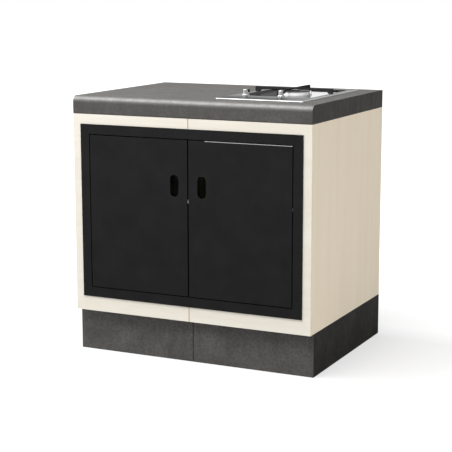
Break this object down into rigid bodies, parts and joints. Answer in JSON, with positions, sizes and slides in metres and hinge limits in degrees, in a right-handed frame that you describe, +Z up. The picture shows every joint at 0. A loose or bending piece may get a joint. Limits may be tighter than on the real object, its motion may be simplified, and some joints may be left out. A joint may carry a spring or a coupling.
{
  "type": "outdoor kitchen hob module",
  "caption": "Cream outdoor kitchen cabinet on a dark plinth with black steel doors, a grey stone worktop and a narrow steel gas hob with turning knobs.",
  "frame": {"origin": "on the floor, in the middle of the whole outline seen from above", "axes": "+X to the right along the front, +Y from the front to the back, +Z up"},
  "size_m": [0.9, 0.678, 0.9436],
  "materials": {
    "cream_board": "matt cream lacquer with a faint upright grain",
    "inner_board": "matt cream lacquer",
    "frame_tube": "mill finish",
    "plinth_stone": "honed dark grey granite",
    "foot_metal": "zinc-plated grey",
    "stone_top": "honed grey granite with small light and dark specks",
    "black_steel": "fine-textured powder coat",
    "bright_bar": "brushed",
    "pin_steel": "plain",
    "catch_plastic": "moulded",
    "hob_steel": "polished with a fine grain",
    "tray_steel": "galvanised",
    "seal_foam": "closed-cell foam",
    "burner_alloy": "cast and machined",
    "black_enamel": "black enamel",
    "electrode_ceramic": "white ceramic",
    "sensor_copper": "plain",
    "cast_black": "matt black enamel",
    "pad_rubber": "plain",
    "knob_metal": "polished",
    "pointer_black": "smooth",
    "valve_brass": "machined",
    "sleeve_steel": "turned"
  },
  "bodies": {
    "unit": {"side_panel_left": "cream_board", "side_panel_right": "cream_board", "front_panel_left": "cream_board", "front_panel_right": "cream_board", "back_panel": "inner_board", "floor_panel": "inner_board", "post_front_left": "frame_tube", "post_front_right": "frame_tube", "post_back_left": "frame_tube", "post_back_right": "frame_tube", "top_rail_front": "frame_tube", "top_rail_back": "frame_tube", "top_rail_left": "frame_tube", "top_rail_right": "frame_tube", "plinth_front_left": "plinth_stone", "plinth_front_right": "plinth_stone", "plinth_left": "plinth_stone", "plinth_right": "plinth_stone", "plinth_back": "plinth_stone", "levelling_feet": "foot_metal", "worktop": "stone_top", "door_frame": "black_steel", "hinge_pins_left": "pin_steel", "hinge_pins_right": "pin_steel", "clamp_screws": "pin_steel", "catch_left": "catch_plastic", "catch_right": "catch_plastic", "hob_top": "hob_steel", "hob_tray": "tray_steel", "hob_clamps": "tray_steel", "manifold": "tray_steel", "feed_pipes": "tray_steel", "hob_seal": "seal_foam", "burner_bowl": "burner_alloy", "burner_ring": "burner_alloy", "burner_ring_cap": "burner_alloy", "burner_crown": "burner_alloy", "burner_cap": "black_enamel", "igniter": "electrode_ceramic", "flame_sensor": "sensor_copper", "valve_left": "valve_brass", "valve_right": "valve_brass", "gas_inlet": "valve_brass"},
    "left_door": {"door_left": "black_steel", "door_bar_left": "bright_bar"},
    "right_door": {"door_right": "black_steel", "door_bar_right": "bright_bar"},
    "left_push": {"spindle_sleeve_left": "sleeve_steel"},
    "right_push": {"spindle_sleeve_right": "sleeve_steel"},
    "left_turn": {"knob_left": "knob_metal", "knob_pointer_left": "pointer_black", "spindle_left": "valve_brass"},
    "right_turn": {"knob_right": "knob_metal", "knob_pointer_right": "pointer_black", "spindle_right": "valve_brass"},
    "pan_rest": {"pan_support": "cast_black", "support_pads": "pad_rubber"}
  },
  "joints": [
    {"name": "left_door_hinge", "type": "hinge", "parent": "unit", "child": "left_door", "pos_m": [-0.3755, -0.332, 0.5095], "axis": [0, 0, -1], "range_deg": [0, 105]},
    {"name": "right_door_hinge", "type": "hinge", "parent": "unit", "child": "right_door", "pos_m": [0.3755, -0.332, 0.5095], "axis": [0, 0, 1], "range_deg": [0, 105]},
    {"name": "left_knob_push", "type": "slide", "parent": "unit", "child": "left_push", "axis": [0, 0, 1], "range_m": [-0.004, 0], "stiffness_N_per_m": 1500, "springref_m": 0.001},
    {"name": "left_knob_turn", "type": "hinge", "parent": "left_push", "child": "left_turn", "pos_m": [0.146, -0.1905, 0.93], "axis": [0, 0, 1], "range_deg": [0, 180]},
    {"name": "right_knob_push", "type": "slide", "parent": "unit", "child": "right_push", "axis": [0, 0, 1], "range_m": [-0.004, 0], "stiffness_N_per_m": 1500, "springref_m": 0.001},
    {"name": "right_knob_turn", "type": "hinge", "parent": "right_push", "child": "right_turn", "pos_m": [0.277, -0.1905, 0.93], "axis": [0, 0, 1], "range_deg": [0, 180]},
    {"name": "pan_support_lift", "type": "slide", "parent": "unit", "child": "pan_rest", "axis": [0, 0, 1], "range_m": [0, 0.15]}
  ]
}
